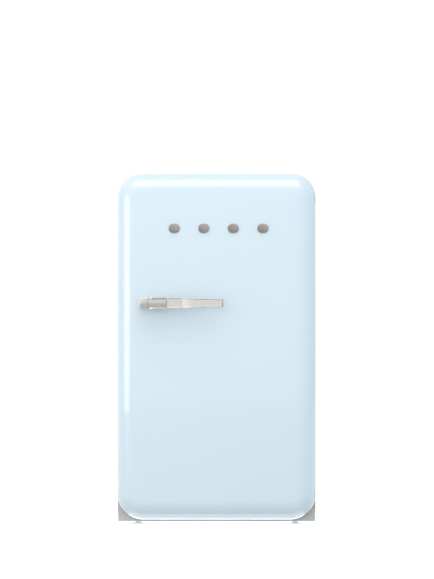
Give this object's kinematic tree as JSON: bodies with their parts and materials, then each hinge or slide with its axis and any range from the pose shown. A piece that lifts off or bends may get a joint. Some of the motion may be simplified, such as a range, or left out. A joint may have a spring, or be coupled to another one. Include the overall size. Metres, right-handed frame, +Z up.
{
  "type": "compact single-door refrigerator",
  "caption": "Compact retro refrigerator with a rounded pastel door, lever handle, inner ice box, glass shelves and a rear compressor niche.",
  "frame": {"origin": "on the floor under the middle of the whole object, handle and rear spacers included", "axes": "+X to the right seen from the front, where the hinges are; +Y to the back; the door faces -Y; +Z up"},
  "size_m": [0.543, 0.632, 0.9599],
  "materials": {
    "pastel_enamel": "glossy pale pastel blue enamel",
    "white_plastic": "white moulded plastic, soft gloss",
    "insulation": "rigid insulating foam, matt",
    "grey_rubber": "light grey magnetic seal",
    "black_rubber": "black rubber, matt",
    "grey_plastic": "mid grey moulded plastic, matt",
    "clear_plastic": "clear moulded plastic",
    "glass": "toughened clear glass",
    "zinc_steel": "zinc coated sheet steel",
    "satin_metal": "satin plated metal",
    "aluminium": "bare roll-bonded aluminium",
    "copper": "copper tube",
    "black_enamel": "black painted steel"
  },
  "bodies": {
    "cabinet": {"base_plate": "zinc_steel", "bottom_rail": "pastel_enamel", "cabinet_shell": "pastel_enamel", "compressor": "black_enamel", "compressor_bracket": "zinc_steel", "compressor_mount_left": "black_rubber", "compressor_mount_right": "black_rubber", "condenser_left": "copper", "condenser_right": "copper", "cord_gland": "black_rubber", "crisper_cover_glass": "glass", "discharge_tube": "copper", "drain_tube": "grey_plastic", "evaporation_tray": "black_enamel", "filter_drier": "copper", "foam_insulation": "insulation", "glass_shelf_middle": "glass", "glass_shelf_upper": "glass", "hinge_bracket_lower": "zinc_steel", "hinge_bracket_upper": "zinc_steel", "hinge_pin_lower": "satin_metal", "hinge_pin_upper": "satin_metal", "ice_box": "aluminium", "ice_box_frame": "white_plastic", "inner_liner": "white_plastic", "lamp": "glass", "lamp_cover": "clear_plastic", "niche_panel": "zinc_steel", "plinth_cover": "grey_plastic", "rear_foot_left": "black_rubber", "rear_foot_right": "black_rubber", "rear_panel": "zinc_steel", "rear_spacer_left": "grey_plastic", "rear_spacer_right": "grey_plastic", "suction_tube": "copper", "switch_body": "white_plastic", "terminal_cover": "black_enamel", "thermostat_housing": "white_plastic"},
    "handle": {"handle_lever": "satin_metal"},
    "ice_flap": {"ice_box_flap": "white_plastic"},
    "crisper": {"crisper_bin": "clear_plastic"},
    "door_switch": {"switch_plunger": "grey_plastic"},
    "knob": {"thermostat_knob": "grey_plastic"},
    "foot_left": {"front_foot_left": "white_plastic"},
    "foot_right": {"front_foot_right": "white_plastic"},
    "upper_balcony": {"balcony_upper": "clear_plastic"},
    "middle_balcony": {"balcony_middle": "clear_plastic"},
    "lower_balcony": {"bottle_shelf": "clear_plastic"},
    "door": {"door_skin": "pastel_enamel", "door_liner": "white_plastic", "door_foam": "insulation", "door_gasket": "grey_rubber", "hinge_bush_lower": "grey_plastic", "hinge_bush_upper": "grey_plastic", "badge_1": "satin_metal", "badge_2": "satin_metal", "badge_3": "satin_metal", "badge_4": "satin_metal", "handle_base": "satin_metal", "handle_pin": "satin_metal"}
  },
  "joints": [
    {"name": "door_hinge", "type": "hinge", "parent": "cabinet", "child": "door", "pos_m": [0.2595, -0.218, 0.48675], "axis": [0, 0, 1], "range_deg": [0, 115]},
    {"name": "handle_pivot", "type": "hinge", "parent": "door", "child": "handle", "pos_m": [-0.1735, -0.303, 0.606], "axis": [0, 0, -1], "range_deg": [0, 12], "stiffness_Nm_per_rad": 2},
    {"name": "upper_balcony_lift", "type": "slide", "parent": "door", "child": "upper_balcony", "axis": [0, 0, 1], "range_m": [0, 0.03]},
    {"name": "middle_balcony_lift", "type": "slide", "parent": "door", "child": "middle_balcony", "axis": [0, 0, 1], "range_m": [0, 0.03]},
    {"name": "lower_balcony_lift", "type": "slide", "parent": "door", "child": "lower_balcony", "axis": [0, 0, 1], "range_m": [0, 0.03]},
    {"name": "ice_flap_hinge", "type": "hinge", "parent": "cabinet", "child": "ice_flap", "pos_m": [0, -0.0676, 0.8947], "axis": [-1, 0, 0], "range_deg": [0, 85]},
    {"name": "crisper_slide", "type": "slide", "parent": "cabinet", "child": "crisper", "axis": [0, -1, 0], "range_m": [0, 0.15]},
    {"name": "switch_travel", "type": "slide", "parent": "cabinet", "child": "door_switch", "axis": [0, -1, 0], "range_m": [0, 0.008]},
    {"name": "knob_turn", "type": "hinge", "parent": "cabinet", "child": "knob", "pos_m": [0.196, -0.058, 0.705], "axis": [-1, 0, 0], "range_deg": [0, 270]},
    {"name": "foot_left_screw", "type": "slide", "parent": "cabinet", "child": "foot_left", "axis": [0, 0, 1], "range_m": [-0.012, 0]},
    {"name": "foot_right_screw", "type": "slide", "parent": "cabinet", "child": "foot_right", "axis": [0, 0, 1], "range_m": [-0.012, 0]}
  ],
  "couplings": [
    {"joint": "crisper_slide", "follows": "door_hinge", "m_per_rad": 0.0747},
    {"joint": "switch_travel", "follows": "door_hinge", "m_per_rad": 0.0039}
  ]
}
